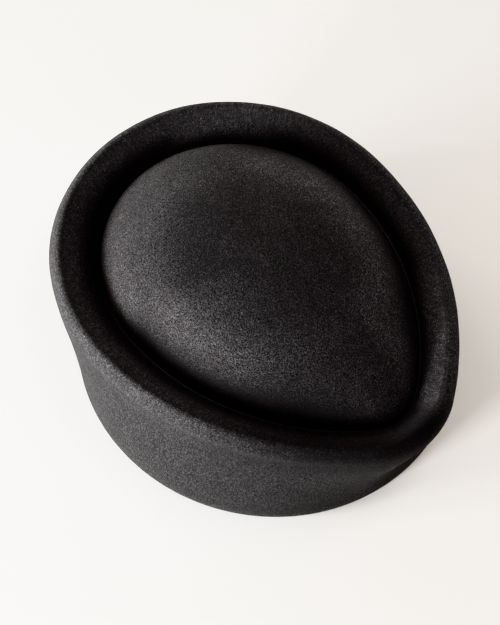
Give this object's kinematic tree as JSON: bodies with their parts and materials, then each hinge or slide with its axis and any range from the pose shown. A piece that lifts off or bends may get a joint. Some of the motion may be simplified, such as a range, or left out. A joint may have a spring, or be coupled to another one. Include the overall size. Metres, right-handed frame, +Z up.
{
  "type": "pillbox hat",
  "caption": "Pillbox hat of dark blocked felt: upright round wall, rolled rim and a teardrop dome set in a groove on top; hollow and open below, worn on the head.",
  "frame": {"origin": "under the middle of the hat's length and width, level with the cut edge of the hem", "axes": "+Z up from the hem to the dome, -Y towards the tip of the teardrop, +Y towards its round end, X across the hat"},
  "size_m": [0.1734, 0.2056, 0.0698],
  "materials": {
    "felt": "matt, brushed wool felt"
  },
  "bodies": {
    "root": {"felt_body": "felt"}
  },
  "joints": []
}
